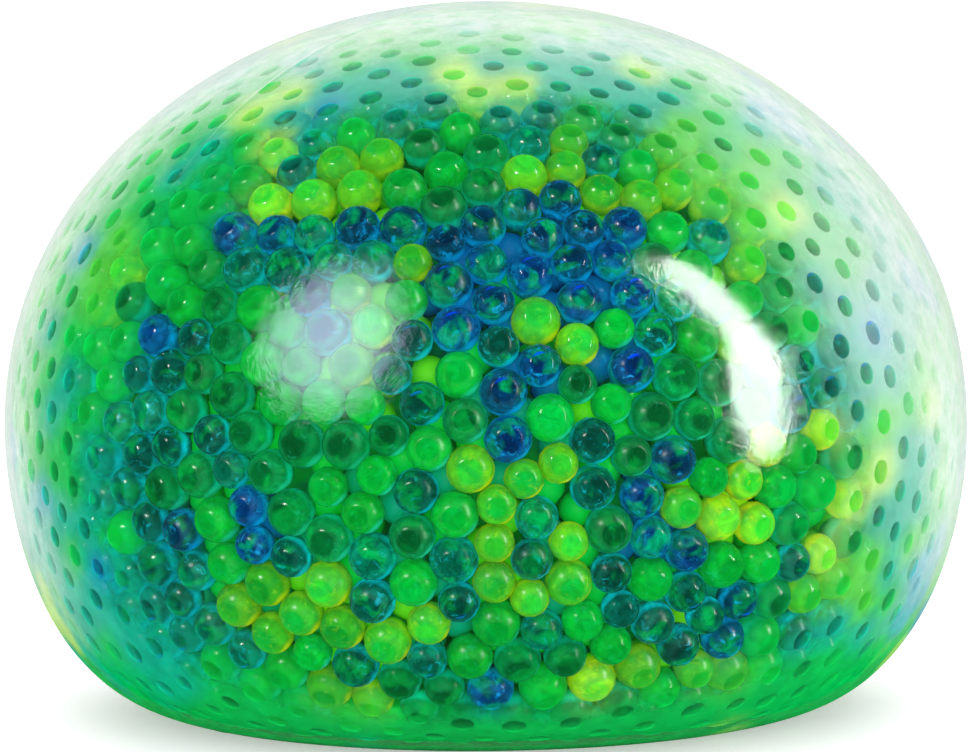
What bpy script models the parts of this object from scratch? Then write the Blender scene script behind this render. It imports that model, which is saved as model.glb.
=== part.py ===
"""Bead-filled squeeze ball, resting on a table.

A clear elastic skin, moulded in one piece, is packed with soft water beads and closed
by a mushroom plug at the back. The ball sags under its own weight, so it stands on a
flat disc and is wider than it is high.

Frame: metres, origin at the centre of the flat base, +Z up, -Y is the front and the
filler plug is on the +Y side.
"""

import math

import bmesh
import bpy
from mathutils import Matrix, Vector

MM = 0.001

# Outer shape of the sagging skin, turned about Z
EQUATOR_RADIUS = 53.5 * MM
EQUATOR_HEIGHT = 32.4 * MM
CROWN_RISE = 46.0 * MM
BASE_RADIUS = 31.0 * MM
FLANK_POWER = 2.4

# Skin
WALL = 1.0 * MM
GAP = 0.3 * MM
SKIN_SIDES = 52
CORE_SIDES = 32
FLANK_STEPS = 7
CROWN_STEPS = 9

# Filler plug and the seat moulded for it
PLUG_HEIGHT = 19.0 * MM
FLANGE_RADIUS = 6.0 * MM
FLANGE_THICKNESS = 0.9 * MM
FLANGE_SINK = 0.25 * MM
STEM_RADIUS = 3.0 * MM
BARB_RADIUS = 4.3 * MM
BARB_LENGTH = 2.4 * MM
BARB_NOSE = ((0.0, 1.0), (0.55, 0.85), (0.90, 0.45))
SEAT_DEPTH = 3.8 * MM
SEAT_RADIUS = 8.5 * MM
PLUG_SIDES = 24
CUT_ABOVE = 6.0 * MM
PLUG_EDGE = 0.25 * MM
PLUG_CROWN = 0.15 * MM

# Beads
BEAD_RADIUS = 2.35 * MM
BEAD_FLAT_RADIUS = 1.2 * MM
BEAD_SIZES = (1.0, 0.93, 1.05, 0.97, 1.02)
BEAD_COUNT = 50
BEAD_SIDES = 10
BEAD_RINGS = 6

# Pockets for the beads in the mass behind them
POCKET_SIDES = 8
POCKET_CLEARANCE = 0.6 * MM

# Finer steps for sharing out the skin's area, and the turn from bead to bead
AREA_STEPS = (24, 36)
GOLDEN_ANGLE = math.pi * (3.0 - math.sqrt(5.0))

# Meshes: edges sharper than this stay sharp, points nearer than this are one
SHARP_ANGLE = math.radians(40.0)
MERGE_DISTANCE = 1e-6

# Colour, roughness and alpha of each material
COLOURS = {
    "skin": ((0.86, 0.95, 0.88), 0.12, 0.35),
    "plug": ((0.80, 0.90, 0.84), 0.30, 1.0),
    "core": ((0.05, 0.42, 0.14), 0.35, 1.0),
    "green": ((0.02, 0.46, 0.09), 0.20, 1.0),
    "lime": ((0.42, 0.72, 0.06), 0.20, 1.0),
    "yellow": ((0.80, 0.84, 0.20), 0.20, 1.0),
    "teal": ((0.01, 0.36, 0.34), 0.20, 1.0),
    "blue": ((0.01, 0.06, 0.36), 0.20, 1.0),
}

# Where each colour gathers: degrees round from the front (+ is towards +X) and the
# height above the base in units of the ball's height
COLOUR_PATCHES = (
    ("blue", 6, 0.62),
    ("blue", -36, 0.32),
    ("blue", -24, 0.66),
    ("teal", -30, 0.82),
    ("teal", 14, 0.38),
    ("teal", 70, 0.90),
    ("teal", 58, 0.06),
    ("lime", 32, 0.58),
    ("lime", -6, 0.20),
    ("lime", -70, 0.44),
    ("yellow", 48, 0.28),
    ("yellow", 64, 0.46),
    ("green", 0, 0.98),
    ("green", 20, 0.86),
    ("green", 50, 0.72),
    ("green", -20, 0.48),
    ("green", -56, 0.62),
    ("green", -64, 0.88),
    ("green", -60, 0.14),
    ("green", -26, 0.04),
    ("green", 18, 0.06),
    ("blue", 98, 0.36),
    ("blue", 105, 0.82),
    ("blue", -132, 0.34),
    ("teal", 128, 0.16),
    ("teal", -140, 0.60),
    ("teal", -158, 0.14),
    ("teal", -160, 0.76),
    ("lime", 150, 0.40),
    ("lime", -86, 0.72),
    ("lime", -108, 0.60),
    ("yellow", 172, 0.55),
    ("green", 110, 0.60),
    ("green", 138, 0.70),
    ("green", -92, 0.30),
    ("green", -120, 0.06),
    ("green", -150, 0.92),
)


def outline(steps_flank, steps_crown):
    """Radius, height and outward normal along the outer skin, base edge to top."""
    points = []
    bulge = EQUATOR_RADIUS - BASE_RADIUS
    for i in range(steps_flank):
        angle = 0.5 * math.pi * (1.0 - i / steps_flank)
        across = math.cos(angle) ** (2.0 / FLANK_POWER)
        down = math.sin(angle)
        slope_r = across ** (FLANK_POWER - 1.0) * FLANK_POWER / bulge
        slope_z = -2.0 * down / EQUATOR_HEIGHT
        normal = Vector((slope_r, slope_z)).normalized()
        place = Vector((BASE_RADIUS + bulge * across, EQUATOR_HEIGHT * (1.0 - down)))
        points.append((place, normal))
    for i in range(steps_crown + 1):
        angle = 0.5 * math.pi * i / steps_crown
        across = math.cos(angle)
        up = math.sin(angle)
        normal = Vector((across / EQUATOR_RADIUS, up / CROWN_RISE)).normalized()
        place = Vector((EQUATOR_RADIUS * across, EQUATOR_HEIGHT + CROWN_RISE * up))
        points.append((place, normal))
    return points


def inset_outline(inset):
    """The outline moved inwards, with a point on the axis at each end."""
    points = outline(FLANK_STEPS, CROWN_STEPS)
    line = [place - normal * inset for place, normal in points]
    line[-1].x = 0.0
    return [Vector((0.0, line[0].y))] + line


def spun_mesh(name, line, sides, sharp_angle=SHARP_ANGLE):
    """A closed solid turned about Z from a line of (radius, height) points."""
    shape = bmesh.new()
    verts = [shape.verts.new((p[0], 0.0, p[1])) for p in line]
    edges = [shape.edges.new(pair) for pair in zip(verts, verts[1:])]
    bmesh.ops.spin(
        shape,
        geom=verts + edges,
        cent=(0.0, 0.0, 0.0),
        axis=(0.0, 0.0, 1.0),
        angle=2.0 * math.pi,
        steps=sides,
        use_merge=True,
    )
    bmesh.ops.remove_doubles(shape, verts=shape.verts, dist=MERGE_DISTANCE)
    bmesh.ops.recalc_face_normals(shape, faces=shape.faces)
    mesh = bpy.data.meshes.new(name)
    shape.to_mesh(mesh)
    shape.free()
    mesh.shade_smooth()
    mesh.set_sharp_from_angle(angle=sharp_angle)
    return mesh


def material(name):
    """The Principled material of one kind of piece."""
    colour, roughness, alpha = COLOURS[name]
    found = bpy.data.materials.get(name) or bpy.data.materials.new(name)
    found.use_nodes = True
    found.diffuse_color = (*colour, alpha)
    shader = found.node_tree.nodes["Principled BSDF"]
    shader.inputs["Base Color"].default_value = (*colour, 1.0)
    shader.inputs["Roughness"].default_value = roughness
    shader.inputs["Metallic"].default_value = 0.0
    shader.inputs["Alpha"].default_value = alpha
    return found


def add_piece(name, mesh, material_name, matrix=None):
    """One sub-part in the scene."""
    piece = bpy.data.objects.new(name, mesh)
    bpy.context.scene.collection.objects.link(piece)
    piece.matrix_world = matrix or Matrix()
    if not mesh.materials:
        mesh.materials.append(material(material_name))
    return piece


def add_cutter(name, mesh, matrix=None):
    """A shape that only cuts, left out of the model."""
    cutter = bpy.data.objects.new(name, mesh)
    bpy.context.scene.collection.objects.link(cutter)
    cutter.matrix_world = matrix or Matrix()
    cutter.hide_render = True
    cutter.display_type = "WIRE"
    return cutter


def subtract(piece, cutter):
    """Cuts one shape out of another."""
    cut = piece.modifiers.new("cut_" + cutter.name, "BOOLEAN")
    cut.operation = "DIFFERENCE"
    cut.solver = "EXACT"
    cut.object = cutter


def axis_frame(place, direction):
    """A frame at a place, its own Z along the direction."""
    return Matrix.Translation(place) @ direction.to_track_quat("Z", "Y").to_matrix().to_4x4()


def plug_frame():
    """The frame on the outer skin at the filler plug, Z pointing out of the ball."""
    down = 1.0 - PLUG_HEIGHT / EQUATOR_HEIGHT
    across = (1.0 - down * down) ** (1.0 / FLANK_POWER)
    bulge = EQUATOR_RADIUS - BASE_RADIUS
    slope_r = across ** (FLANK_POWER - 1.0) * FLANK_POWER / bulge
    slope_z = -2.0 * down / EQUATOR_HEIGHT
    place = Vector((0.0, BASE_RADIUS + bulge * across, PLUG_HEIGHT))
    return axis_frame(place, Vector((0.0, slope_r, slope_z)).normalized())


def disc_line(radius, low, high):
    """The half outline of a plain turned disc."""
    return [(0.0, low), (radius, low), (radius, high), (0.0, high)]


def add_skin(seat):
    """The clear skin, with its thickened seat and the filler hole through it."""
    skin = add_piece("skin", spun_mesh("skin", inset_outline(0.0), SKIN_SIDES), "skin")
    cavity = add_cutter("cavity", spun_mesh("cavity", inset_outline(WALL), SKIN_SIDES))
    boss = spun_mesh("boss", disc_line(SEAT_RADIUS, -SEAT_DEPTH, CUT_ABOVE), PLUG_SIDES)
    subtract(cavity, add_cutter("boss", boss, seat))
    subtract(skin, cavity)
    recess_floor = -(FLANGE_SINK + FLANGE_THICKNESS + GAP)
    recess = disc_line(FLANGE_RADIUS + GAP, recess_floor, CUT_ABOVE)
    subtract(skin, add_cutter("recess", spun_mesh("recess", recess, PLUG_SIDES), seat))
    hole = disc_line(STEM_RADIUS + GAP, -2.0 * SEAT_DEPTH, CUT_ABOVE)
    subtract(skin, add_cutter("hole", spun_mesh("hole", hole, PLUG_SIDES), seat))


def add_plug(seat):
    """The mushroom plug: flange, stem through the seat, and a barb behind it."""
    top = -FLANGE_SINK
    under = top - FLANGE_THICKNESS
    barb = -(SEAT_DEPTH + GAP)
    nose = [(r * BARB_RADIUS, barb - z * BARB_LENGTH) for r, z in BARB_NOSE]
    line = nose + [
        (BARB_RADIUS, barb - PLUG_EDGE),
        (BARB_RADIUS - PLUG_EDGE, barb),
        (STEM_RADIUS, barb),
        (STEM_RADIUS, under),
        (FLANGE_RADIUS, under),
        (FLANGE_RADIUS, top - PLUG_EDGE),
        (FLANGE_RADIUS - PLUG_EDGE, top),
        (0.5 * FLANGE_RADIUS, top + 0.8 * PLUG_CROWN),
        (0.0, top + PLUG_CROWN),
    ]
    add_piece("filler_plug", spun_mesh("filler_plug", line, PLUG_SIDES), "plug", seat)


def bead_line(radius, flat_radius, rings):
    """Half outline of a bead: a ball whose outer side is pressed flat."""
    flat_angle = math.asin(flat_radius / radius)
    line = [(0.0, -radius)]
    for i in range(1, rings + 1):
        angle = math.pi - (math.pi - flat_angle) * i / rings
        line.append((radius * math.sin(angle), radius * math.cos(angle)))
    line.append((0.0, radius * math.cos(flat_angle)))
    return line


def equal_area_places(count):
    """Places spread evenly over the skin: radius, height, normal and turn about Z."""
    line = [(Vector((0.0, 0.0)), Vector((0.0, -1.0)))] + outline(*AREA_STEPS)
    areas = [0.0]
    for (a, _), (b, _) in zip(line, line[1:]):
        areas.append(areas[-1] + 0.5 * (a.x + b.x) * (b - a).length)
    places = []
    for i in range(count):
        wanted = areas[-1] * (i + 0.5) / count
        k = next(j for j, area in enumerate(areas) if area > wanted)
        share = (wanted - areas[k - 1]) / (areas[k] - areas[k - 1])
        place = line[k - 1][0].lerp(line[k][0], share)
        normal = line[k - 1][1].lerp(line[k][1], share).normalized()
        places.append((place, normal, i * GOLDEN_ANGLE))
    return places


def patch_colour(place):
    """The colour that gathers nearest to a place on the ball."""
    height = EQUATOR_HEIGHT + CROWN_RISE
    best = None
    for name, degrees, level in COLOUR_PATCHES:
        turn = math.radians(degrees)
        reach = EQUATOR_RADIUS * math.sqrt(max(0.0, 1.0 - (2.0 * level - 1.0) ** 2))
        centre = Vector((reach * math.sin(turn), -reach * math.cos(turn), level * height))
        distance = (centre - place).length
        if best is None or distance < best[0]:
            best = (distance, name)
    return best[1]


def bead_places(seat):
    """Frame, size and colour of each separate bead against the skin."""
    clear_of_plug = SEAT_RADIUS + 2.0 * BEAD_RADIUS
    found = []
    for place, normal, turn in equal_area_places(BEAD_COUNT):
        size = BEAD_SIZES[len(found) % len(BEAD_SIZES)]
        reach = math.sqrt(BEAD_RADIUS**2 - BEAD_FLAT_RADIUS**2) * size
        centre = place - normal * (WALL + GAP + reach)
        spin = Matrix.Rotation(turn, 3, "Z")
        where = spin @ Vector((centre.x, 0.0, centre.y))
        outward = spin @ Vector((normal.x, 0.0, normal.y))
        if (where - seat.translation).length < clear_of_plug:
            continue
        found.append((axis_frame(where, outward), size, patch_colour(where)))
    return found


def add_beads(beads):
    """The separate beads, numbered within each colour."""
    line = bead_line(BEAD_RADIUS, BEAD_FLAT_RADIUS, BEAD_RINGS)
    numbers = {}
    for frame, size, colour in beads:
        numbers[colour] = numbers.get(colour, 0) + 1
        name = f"bead_{colour}_{numbers[colour]:02d}"
        scaled = [(r * size, z * size) for r, z in line]
        add_piece(name, spun_mesh(name, scaled, BEAD_SIDES, math.pi), colour, frame)


def add_core(beads, seat):
    """All the other beads as one mass, with a pocket for each separate bead."""
    line = inset_outline(WALL + GAP)
    core = add_piece("bead_core", spun_mesh("bead_core", line, CORE_SIDES), "core")
    pockets = bmesh.new()
    for frame, size, _ in beads:
        bmesh.ops.create_uvsphere(
            pockets,
            u_segments=POCKET_SIDES,
            v_segments=BEAD_RINGS,
            radius=BEAD_RADIUS * size + POCKET_CLEARANCE,
            matrix=frame,
        )
    mesh = bpy.data.meshes.new("pockets")
    pockets.to_mesh(mesh)
    pockets.free()
    subtract(core, add_cutter("pockets", mesh))
    depth = SEAT_DEPTH + GAP + BARB_LENGTH + 2.0 * GAP
    room = disc_line(SEAT_RADIUS + 2.0 * GAP, -depth, CUT_ABOVE)
    subtract(core, add_cutter("plug_room", spun_mesh("plug_room", room, PLUG_SIDES), seat))


def build():
    for old in list(bpy.data.objects):
        bpy.data.objects.remove(old, do_unlink=True)
    seat = plug_frame()
    beads = bead_places(seat)
    add_skin(seat)
    add_plug(seat)
    add_beads(beads)
    add_core(beads, seat)


build()
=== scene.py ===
"""Looks of the bead-filled squeeze ball: its outer beads, the clear skin and the skin's haze."""

import math

import bpy
import numpy as np
from mathutils import Matrix, Vector, noise


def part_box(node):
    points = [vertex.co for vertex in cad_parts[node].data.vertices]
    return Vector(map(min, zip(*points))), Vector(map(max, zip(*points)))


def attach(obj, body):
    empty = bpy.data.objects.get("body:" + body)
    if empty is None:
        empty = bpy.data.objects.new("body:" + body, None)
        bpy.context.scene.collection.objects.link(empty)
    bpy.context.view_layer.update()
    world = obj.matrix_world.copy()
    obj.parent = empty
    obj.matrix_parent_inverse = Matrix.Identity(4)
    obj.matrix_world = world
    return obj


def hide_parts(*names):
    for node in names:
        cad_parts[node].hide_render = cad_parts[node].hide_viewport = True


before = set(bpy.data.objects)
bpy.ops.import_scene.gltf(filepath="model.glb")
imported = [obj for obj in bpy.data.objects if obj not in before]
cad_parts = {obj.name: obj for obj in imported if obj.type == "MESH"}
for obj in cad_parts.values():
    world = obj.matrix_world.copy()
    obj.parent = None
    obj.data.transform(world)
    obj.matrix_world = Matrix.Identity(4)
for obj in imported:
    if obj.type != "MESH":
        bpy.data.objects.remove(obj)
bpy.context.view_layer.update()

MM = 0.001
UP = (0.0, 0.0, 1.0)
RNG = np.random.default_rng(20)
CHUNK = 3000

# Outer shape of the skin, as in the CAD
SKIN_LOW, SKIN_HIGH = (Vector(corner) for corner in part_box("skin"))
EQUATOR_RADIUS = 0.5 * (SKIN_HIGH.x - SKIN_LOW.x)
BALL_HEIGHT = SKIN_HIGH.z - SKIN_LOW.z
EQUATOR_HEIGHT = 32.4 * MM
CROWN_RISE = BALL_HEIGHT - EQUATOR_HEIGHT
BASE_RADIUS = 31.0 * MM
FLANK_POWER = 2.4
WALL = 1.0 * MM

# Filler plug and its seat, as in the CAD
PLUG_HEIGHT = 19.0 * MM
GAP = 0.3 * MM
FLANGE_RADIUS = 6.0 * MM
RECESS_DEPTH = 1.45 * MM
STEM_RADIUS = 3.0 * MM
SEAT_DEPTH = 3.8 * MM
SEAT_RADIUS = 8.5 * MM
CUT_ABOVE = 5.0 * MM
FLANGE_SINK = 0.25 * MM
FLANGE_THICKNESS = 0.9 * MM
PLUG_EDGE = 0.25 * MM
BARB_RADIUS = 4.3 * MM
BARB_LENGTH = 2.4 * MM
BARB_NOSE = ((0.55, 0.85), (0.90, 0.45))

# Finer than in the CAD: more sides, and a dish and the gate's mark in the plug's face
SEAT_SIDES = 96
DISH_RADIUS = 4.3 * MM
DISH_DEPTH = 0.35 * MM
GATE_RADIUS = 0.8 * MM
GATE_RISE = 0.12 * MM

# Beads: radii, the flat cap where one is pressed on the skin, and how they are packed
BEAD_SMALL = 2.12 * MM
BEAD_LARGE = 2.66 * MM
CAP_COSINE = 0.866
CAP_FROM = 0.86
CAP_SINK = 0.12 * MM
CONTACT_GAP = 0.015 * MM
OUTER_FILL = 0.90
INNER_FILL = 0.80
INNER_SHRINK = 0.86
INNER_STEP = 1.40
START_SCATTER = 0.8 * MM
SETTLE_ROUNDS = 160
SETTLE_PUSH = 0.3
OUTER_STRAYS = 0.07
INNER_STRAYS = 0.12
BEAD_SIDES = 14
BEAD_RINGS = (0.97, 0.87, 0.80, 0.67, 0.48, 0.22, -0.10, -0.45, -0.80)
INNER_SIDES = 9
INNER_RINGS = (0.86, 0.50, 0.0, -0.50, -0.86)

# Where the painted glow lies on a bead, light painted as gathered at its lower right, and where
# the painted bright arc on its cap lies, which turns over to the lower side on beads below the
# equator
PAINTED_GLOW_DIRECTION = np.array([0.62, -0.25, -0.74])
LIGHT_ARC_DIRECTION = np.array([-0.30, 0.00, 0.95])
LIGHT_ARC_TURNOVER = 5.0
LIGHT_ARC_LEAN = 0.4

# The rest of the fill behind the second layer
CORE_LAYERS = 4.1
CORE_ROW = 2.0 * MM
CORE_COLUMNS = 150
LUMP_COUNT = 700
LUMP_RISE = 1.2 * MM
LUMP_WIDTH = 1.5 * MM

# The skin's surface
SKIN_COLUMNS = 320
SKIN_ROW = 1.0 * MM
SEAM_TURN = math.radians(-51.0)
SEAM_SIDES = (SEAM_TURN - 0.5 * math.pi, SEAM_TURN + 0.5 * math.pi)
SEAM_HALF_WIDTH = 0.22 * MM
SEAM_RISE = 0.05 * MM
BULGE = 0.006 * MM
BULGE_WIDTH = 1.3 * MM
WAVE = 0.16 * MM
HAZE_SPREAD = 1.25 * MM
HAZE_LOW = 11.0 * MM
HAZE_LOW_SHARE = 0.75
# A painted shadow at the foot: the haze darker along the bottom edge
FOOT_SHADOW_LEVEL = 0.40
FOOT_SHADOW_FROM = 0.2 * MM
FOOT_SHADOW_WIDTH = 1.2 * MM
FADE_FROM = -0.62
FADE_WIDTH = 0.55
# A painted sheen of light on the skin's veil: white on one side and on the top, standing in for the
# broad reflection of the window and of the light overhead
PAINTED_SHEEN_TURN = math.radians(78.0)
PAINTED_SHEEN_REACH = 0.77
PAINTED_SHEEN_LEVEL = 0.62
PAINTED_SHEEN_RISE = 0.36
PAINTED_SHEEN_SHARE = 0.85
TOP_SHEEN_SHARE = 0.56
TOP_SHEEN_FROM = 0.84
TOP_SHEEN_WIDTH = 0.12
SHARP_ANGLE = math.radians(40.0)

# Studio
WORLD_LEVEL = 1.0
WORLD_IN_GLOSS = 0.06
FLOOR_SIDE = 3.0
FLOOR_GAP = 0.05 * MM

# Soft reflection on the left: shares of its size with their radiance, laid on each other and
# a little apart, and two glints in the beads only, with distance, size and radiance
LEFT_SOFT = ((1.0, 1.8), (0.90, 2.8), (0.78, 4.0), (0.62, 4.4), (0.42, 2.6), (0.22, 1.6))
LEFT_SIZE = (0.39, 0.53)
LEFT_APART = 0.01
LEFT_TINT = (0.66, 0.65, 1.0)
LEFT_PLACE = Vector((-0.350, -0.425, 0.352))
GLINTS = (
    ("glint_core", 1.0, (0.07, 0.09), 70.0),
    ("glint_glow", 1.02, (0.26, 0.16), 20.0),
)

# Window reflection on the right: place, upright direction and size of each part
RIGHT_WINDOW = (
    ("right_window", (0.571, -0.265, 0.135), (-0.062, 0.029, 0.335), (0.155, 0.34)),
    ("right_tip", (0.490, -0.230, 0.360), (-0.218, -0.024, 0.313), (0.095, 0.42)),
)
RIGHT_RADIANCE = 26.0

# Camera
LENS = 250.0
SENSOR = 36.0
EYE_RISE = math.radians(6.0)
EYE_DISTANCE = 0.75
AIM_DROP = 2.4 * MM
ROLL = math.radians(-0.5)

# Body, rim and pressed cap colour of each kind of bead, milky and clear: the rim is a painted
# bright rim of light and the cap is painted darker, as the shade of the unlit inside; the haze
# colour it gives the skin, the colour of the painted glow it gathers at the lower right and of
# its painted sparkle, the tint of the light that passes it, and its deep colour in the second
# layer. Depth is the painted shade of its far side, and teal and blue have a painted bright arc
# on the cap
BEAD_LOOKS = {
    "green": dict(
        milky=((0.0, 0.33, 0.022), (0.002, 0.4, 0.05), (0.0, 0.24, 0.018)),
        clear=((0.0, 0.17, 0.038), (0.0, 0.4, 0.22), (0.0, 0.062, 0.012)),
        haze=(0.001, 0.42, 0.07),
        glow=(0.01, 0.5, 0.26),
        tint=(0.25, 0.86, 0.4),
        deep=(0.0, 0.4, 0.045),
        clear_share=0.45,
        depth=0.9,
        clouds=0.22,
        sheen=0.15,
        painted_sparkle=0.2,
    ),
    "lime": dict(
        milky=((0.07, 0.39, 0.01), (0.22, 0.5, 0.008), (0.016, 0.33, 0.016)),
        clear=((0.032, 0.35, 0.014), (0.16, 0.46, 0.012), (0.003, 0.25, 0.016)),
        haze=(0.055, 0.48, 0.04),
        glow=(0.42, 0.6, 0.004),
        tint=(0.55, 0.88, 0.25),
        deep=(0.1, 0.5, 0.012),
        clear_share=0.3,
        depth=0.92,
        clouds=0.16,
        sheen=0.15,
        painted_sparkle=0.25,
    ),
    "yellow": dict(
        milky=((0.2, 0.52, 0.008), (0.46, 0.6, 0.006), (0.06, 0.42, 0.014)),
        clear=((0.11, 0.48, 0.012), (0.42, 0.56, 0.008), (0.012, 0.36, 0.014)),
        haze=(0.36, 0.62, 0.11),
        glow=(0.7, 0.62, 0.004),
        tint=(0.7, 0.88, 0.25),
        deep=(0.28, 0.6, 0.012),
        clear_share=0.25,
        depth=0.92,
        clouds=0.16,
        sheen=0.15,
        painted_sparkle=0.3,
    ),
    "teal": dict(
        milky=((0.0, 0.145, 0.078), (0.0, 0.38, 0.4), (0.0, 0.07, 0.034)),
        clear=((0.0, 0.082, 0.052), (0.0, 0.4, 0.48), (0.0, 0.034, 0.02)),
        haze=(0.001, 0.36, 0.23),
        glow=(0.0, 0.43, 0.52),
        tint=(0.2, 0.82, 0.7),
        deep=(0.0, 0.26, 0.15),
        clear_share=0.6,
        depth=0.8,
        clouds=0.45,
        sheen=0.35,
        painted_sparkle=0.5,
        crest=(0.0, 0.13, 0.52),
        crest_share=0.6,
    ),
    "blue": dict(
        milky=((0.0, 0.055, 0.165), (0.0, 0.23, 0.5), (0.0, 0.016, 0.085)),
        clear=((0.0, 0.048, 0.095), (0.0, 0.24, 0.48), (0.0, 0.012, 0.04)),
        haze=(0.002, 0.29, 0.36),
        glow=(0.0, 0.3, 0.64),
        tint=(0.15, 0.72, 0.85),
        deep=(0.0, 0.11, 0.26),
        clear_share=0.6,
        depth=0.8,
        clouds=0.5,
        sheen=0.35,
        painted_sparkle=0.6,
        crest=(0.0, 0.035, 0.7),
        crest_share=0.9,
    ),
}
COLOURS = tuple(BEAD_LOOKS)
GREEN_BEHIND = (0.000, 0.280, 0.035)

# Broad areas of colour on the front: the middle, as degrees round from the front (+ is
# towards +X) and a share of the ball's height, and the reach in both. Later ones lie on top
AREAS = (
    ("teal", -10, 0.90, 22, 0.03),
    ("teal", 20, 0.88, 14, 0.03),
    ("lime", 30, 0.76, 14, 0.06),
    ("lime", -22, 0.83, 12, 0.06),
    ("green", -60, 0.76, 24, 0.10),
    ("teal", -10, 0.71, 24, 0.04),
    ("teal", 20, 0.72, 16, 0.05),
    ("teal", 3, 0.56, 16, 0.11),
    ("blue", -22, 0.74, 20, 0.04),
    ("blue", 10, 0.74, 14, 0.04),
    ("blue", 7, 0.63, 14, 0.07),
    ("blue", 12, 0.54, 9, 0.06),
    ("green", -38, 0.58, 14, 0.12),
    ("lime", -58, 0.55, 6, 0.10),
    ("teal", 48, 0.62, 8, 0.14),
    ("yellow", 46, 0.70, 7, 0.05),
    ("green", 20, 0.47, 10, 0.05),
    ("green", -16, 0.44, 16, 0.08),
    ("teal", -78, 0.26, 10, 0.10),
    ("teal", -42, 0.40, 14, 0.06),
    ("blue", -34, 0.33, 12, 0.04),
    ("teal", 4, 0.36, 26, 0.06),
    ("yellow", 48, 0.38, 14, 0.07),
    ("lime", 6, 0.27, 10, 0.05),
    ("blue", 22, 0.29, 9, 0.04),
    ("lime", -22, 0.20, 14, 0.05),
    ("lime", 54, 0.22, 13, 0.08),
    ("teal", -56, 0.18, 18, 0.06),
)

# How many of the patches in an area keep to its colour, the shares of the colours elsewhere
# on the front and round the back (stray beads take these too), and how the patches lie
AREA_HOLD = 0.80
FRONT_TURN = 74.0
FRONT_SHARES = {"green": 0.58, "lime": 0.08, "yellow": 0.02, "teal": 0.27, "blue": 0.05}
BACK_SHARES = {"green": 0.42, "lime": 0.16, "yellow": 0.08, "teal": 0.20, "blue": 0.14}
PATCH_COUNT = 1100
PATCH_SCATTER = 1.5 * MM
PATCH_RNG = np.random.default_rng(3)
PATCH_BLUR = 1.6 * MM

# Outer beads low down are mostly green
LOW_BAND = 7.0 * MM
LOW_GREEN = 0.8


# ---------------- the ball's outline


def dense_outline(base_steps=60, flank_steps=220, crown_steps=300):
    """Radius and height, and the outward normal, from the base's centre to the top."""
    bulge = EQUATOR_RADIUS - BASE_RADIUS
    base_r = np.linspace(0.0, BASE_RADIUS, base_steps, endpoint=False)
    base = np.stack([base_r, np.zeros(base_steps)], 1)
    base_normal = np.tile([0.0, -1.0], (base_steps, 1))
    turn = 0.5 * math.pi * (1.0 - np.arange(flank_steps) / flank_steps)
    across = np.cos(turn) ** (2.0 / FLANK_POWER)
    across[0] = 0.0
    down = np.sin(turn)
    flank = np.stack([BASE_RADIUS + bulge * across, EQUATOR_HEIGHT * (1.0 - down)], 1)
    slope_r = across ** (FLANK_POWER - 1.0) * FLANK_POWER / bulge
    flank_normal = np.stack([slope_r, -2.0 * down / EQUATOR_HEIGHT], 1)
    turn = 0.5 * math.pi * np.arange(crown_steps + 1) / crown_steps
    crown = np.stack(
        [EQUATOR_RADIUS * np.cos(turn), EQUATOR_HEIGHT + CROWN_RISE * np.sin(turn)], 1
    )
    crown_normal = np.stack([np.cos(turn) / EQUATOR_RADIUS, np.sin(turn) / CROWN_RISE], 1)
    place = np.concatenate([base, flank, crown])
    normal = np.concatenate([base_normal, flank_normal, crown_normal])
    return place, normal / np.linalg.norm(normal, axis=1, keepdims=True)


OUTLINE, OUTLINE_NORMAL = dense_outline()


def chunks(points):
    """Slices that take the points some at a time, to save memory."""
    return [slice(at, at + CHUNK) for at in range(0, len(points), CHUNK)]


def even_turns(count):
    return np.linspace(-math.pi, math.pi, count, endpoint=False)


def skin_feet(points):
    """For each point: its foot on the outer skin as (radius, height), the normal there, its
    turn about Z and its depth under the skin."""
    flat = np.stack([np.hypot(points[:, 0], points[:, 1]), points[:, 2]], 1)
    nearest = np.empty(len(flat), int)
    for rows in chunks(flat):
        part = flat[rows]
        gap = (part[:, None, 0] - OUTLINE[None, :, 0]) ** 2
        gap += (part[:, None, 1] - OUTLINE[None, :, 1]) ** 2
        nearest[rows] = gap.argmin(1)
    place, normal = OUTLINE[nearest], OUTLINE_NORMAL[nearest]
    tangent = np.stack([-normal[:, 1], normal[:, 0]], 1)
    along = ((flat - place) * tangent).sum(1, keepdims=True)
    foot = place + tangent * along
    depth = ((foot - flat) * normal).sum(1)
    return foot, normal, np.arctan2(points[:, 1], points[:, 0]), depth


def turned(flat, turn):
    """(radius, height) pairs turned about Z into 3-D."""
    return np.stack([flat[:, 0] * np.cos(turn), flat[:, 0] * np.sin(turn), flat[:, 1]], 1)


def at_depth(points, depth):
    """The points moved to a depth under the outer skin, and their outward normals."""
    foot, normal, turn, _ = skin_feet(points)
    return turned(foot - normal * np.reshape(depth, (-1, 1)), turn), turned(normal, turn)


def spread_evenly(count, depth):
    """Start places at a depth: even by area, stepping round by the golden angle."""
    line = OUTLINE - OUTLINE_NORMAL * depth
    line[:, 0] = np.maximum(line[:, 0], 0.0)
    step = np.linalg.norm(np.diff(line, axis=0), axis=1)
    area = np.concatenate([[0.0], np.cumsum(step * 0.5 * (line[1:, 0] + line[:-1, 0]))])
    wanted = (np.arange(count) + 0.5) / count * area[-1]
    turn = np.arange(count) * math.pi * (3.0 - math.sqrt(5.0))
    flat = np.stack([np.interp(wanted, area, line[:, k]) for k in (0, 1)], 1)
    return turned(flat, turn), 2.0 * math.pi * area[-1]


# ---------------- where the beads lie


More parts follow.
